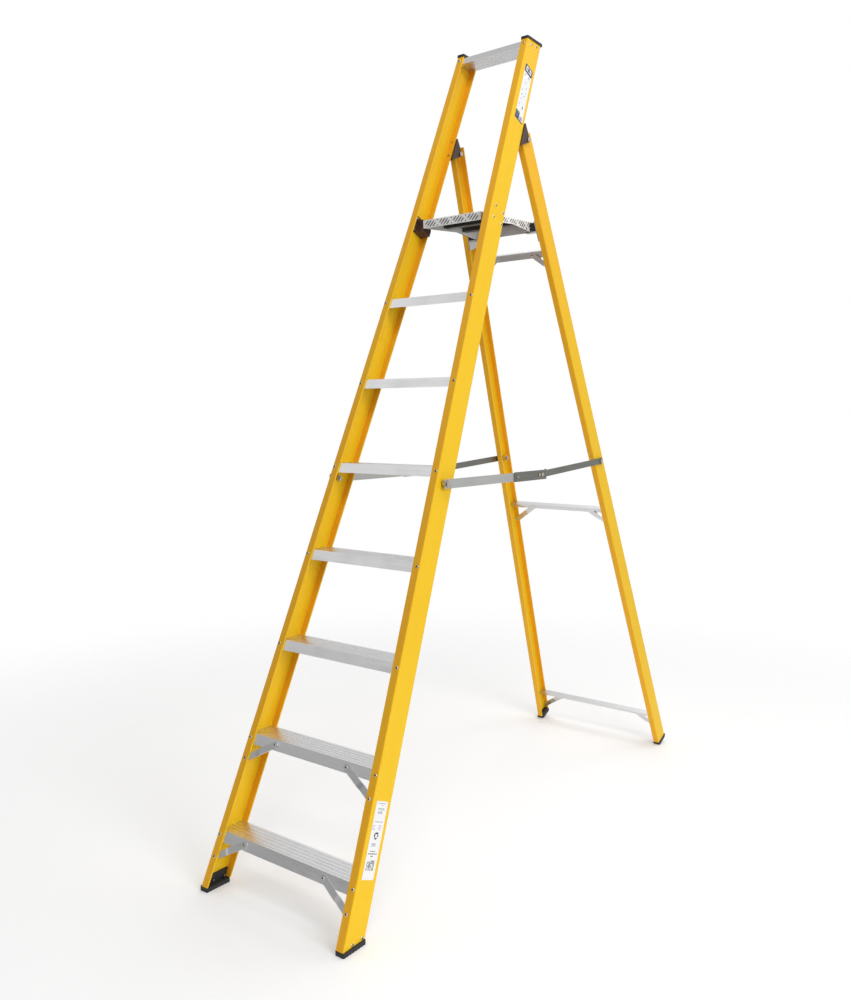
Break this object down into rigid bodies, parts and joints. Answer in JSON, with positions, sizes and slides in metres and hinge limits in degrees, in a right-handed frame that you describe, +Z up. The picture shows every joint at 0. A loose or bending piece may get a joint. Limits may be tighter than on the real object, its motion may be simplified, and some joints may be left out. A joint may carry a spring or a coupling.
{
  "type": "platform step ladder",
  "caption": "Platform step ladder: fibreglass channel frames, ribbed treads, a folding chequer-plate platform, and hinged rear legs held open by folding stays.",
  "frame": {"origin": "middle of the base, on the floor, under the centre of the open ladder's box", "axes": "+Z up, X across the ladder, the climber faces +Y"},
  "size_m": [0.557, 1.9092, 2.4825],
  "materials": {
    "fibreglass": "satin pultruded glass fibre, safety yellow",
    "tread_aluminium": "mill-finish extrusion",
    "chequer_aluminium": "bright five-bar chequer plate",
    "brace_aluminium": "mill finish",
    "black_rubber": "matt moulded rubber",
    "bracket_steel": "dark semi-gloss paint",
    "stay_zinc": "bright zinc plate",
    "stay_steel": "dull plated steel",
    "fastener_steel": "bright rivets, pins and bolts"
  },
  "bodies": {
    "front_frame": {"front_stile_left": "fibreglass", "front_stile_right": "fibreglass", "tread_1": "tread_aluminium", "tread_2": "tread_aluminium", "tread_3": "tread_aluminium", "tread_4": "tread_aluminium", "tread_5": "tread_aluminium", "tread_6": "tread_aluminium", "tread_7": "tread_aluminium", "top_crossbar": "tread_aluminium", "foot_front_left": "black_rubber", "foot_front_right": "black_rubber", "top_cap_left": "black_rubber", "top_cap_right": "black_rubber", "knee_brace_1_left": "brace_aluminium", "knee_brace_1_right": "brace_aluminium", "knee_brace_2_left": "brace_aluminium", "knee_brace_2_right": "brace_aluminium", "hinge_bracket_left": "bracket_steel", "hinge_bracket_right": "bracket_steel", "hinge_pin_left": "fastener_steel", "hinge_pin_right": "fastener_steel", "platform_bracket_left": "bracket_steel", "platform_bracket_right": "bracket_steel", "platform_pin_left": "fastener_steel", "platform_pin_right": "fastener_steel", "stay_front_bolt_left": "fastener_steel", "stay_front_bolt_right": "fastener_steel", "front_frame_rivets": "fastener_steel"},
    "rear_frame": {"rear_leg_left": "fibreglass", "rear_leg_right": "fibreglass", "cross_member_lower": "brace_aluminium", "cross_member_middle": "brace_aluminium", "cross_member_upper": "brace_aluminium", "rear_brace_lower_left": "brace_aluminium", "rear_brace_lower_right": "brace_aluminium", "rear_brace_middle_left": "brace_aluminium", "rear_brace_middle_right": "brace_aluminium", "rear_brace_upper_left": "brace_aluminium", "rear_brace_upper_right": "brace_aluminium", "foot_rear_left": "black_rubber", "foot_rear_right": "black_rubber", "platform_rest_left": "stay_zinc", "platform_rest_right": "stay_zinc", "platform_guides": "black_rubber", "stay_rear_bolt_left": "fastener_steel", "stay_rear_bolt_right": "fastener_steel", "rear_frame_rivets": "fastener_steel"},
    "platform": {"platform_plate": "chequer_aluminium", "platform_stiffeners": "brace_aluminium"},
    "stay_front_left": {"stay_front_link_left": "stay_zinc", "stay_knuckle_left": "stay_steel", "stay_joint_rivets_left": "fastener_steel"},
    "stay_front_right": {"stay_front_link_right": "stay_zinc", "stay_knuckle_right": "stay_steel", "stay_joint_rivets_right": "fastener_steel"},
    "stay_rear_left": {"stay_rear_link_left": "stay_steel", "stay_joint_stud_left": "fastener_steel"},
    "stay_rear_right": {"stay_rear_link_right": "stay_steel", "stay_joint_stud_right": "fastener_steel"}
  },
  "joints": [
    {"name": "rear_fold", "type": "hinge", "parent": "front_frame", "child": "rear_frame", "pos_m": [0, 0.03404, 2.16067], "axis": [-1, 0, 0], "range_deg": [0, 44]},
    {"name": "platform_lift", "type": "hinge", "parent": "front_frame", "child": "platform", "pos_m": [0, -0.1491, 1.897], "axis": [1, 0, 0], "range_deg": [0, 63.9]},
    {"name": "stay_front_fold_left", "type": "hinge", "parent": "front_frame", "child": "stay_front_left", "pos_m": [-0.2125, -0.47674, 1.10731], "axis": [1, 0, 0], "range_deg": [0, 54.48]},
    {"name": "stay_front_fold_right", "type": "hinge", "parent": "front_frame", "child": "stay_front_right", "pos_m": [0.2125, -0.47674, 1.10731], "axis": [1, 0, 0], "range_deg": [0, 54.48]},
    {"name": "stay_rear_fold_left", "type": "hinge", "parent": "rear_frame", "child": "stay_rear_left", "pos_m": [-0.209, 0.46022, 1.14531], "axis": [-1, 0, 0], "range_deg": [0, 74.8]},
    {"name": "stay_rear_fold_right", "type": "hinge", "parent": "rear_frame", "child": "stay_rear_right", "pos_m": [0.209, 0.46022, 1.14531], "axis": [-1, 0, 0], "range_deg": [0, 74.8]}
  ],
  "couplings": [
    {"joint": "platform_lift", "follows": "rear_fold", "ratio": 1.4523},
    {"joint": "stay_front_fold_left", "follows": "rear_fold", "ratio": 1.2382},
    {"joint": "stay_front_fold_right", "follows": "rear_fold", "ratio": 1.2382},
    {"joint": "stay_rear_fold_left", "follows": "rear_fold", "ratio": 1.6999},
    {"joint": "stay_rear_fold_right", "follows": "rear_fold", "ratio": 1.6999}
  ]
}
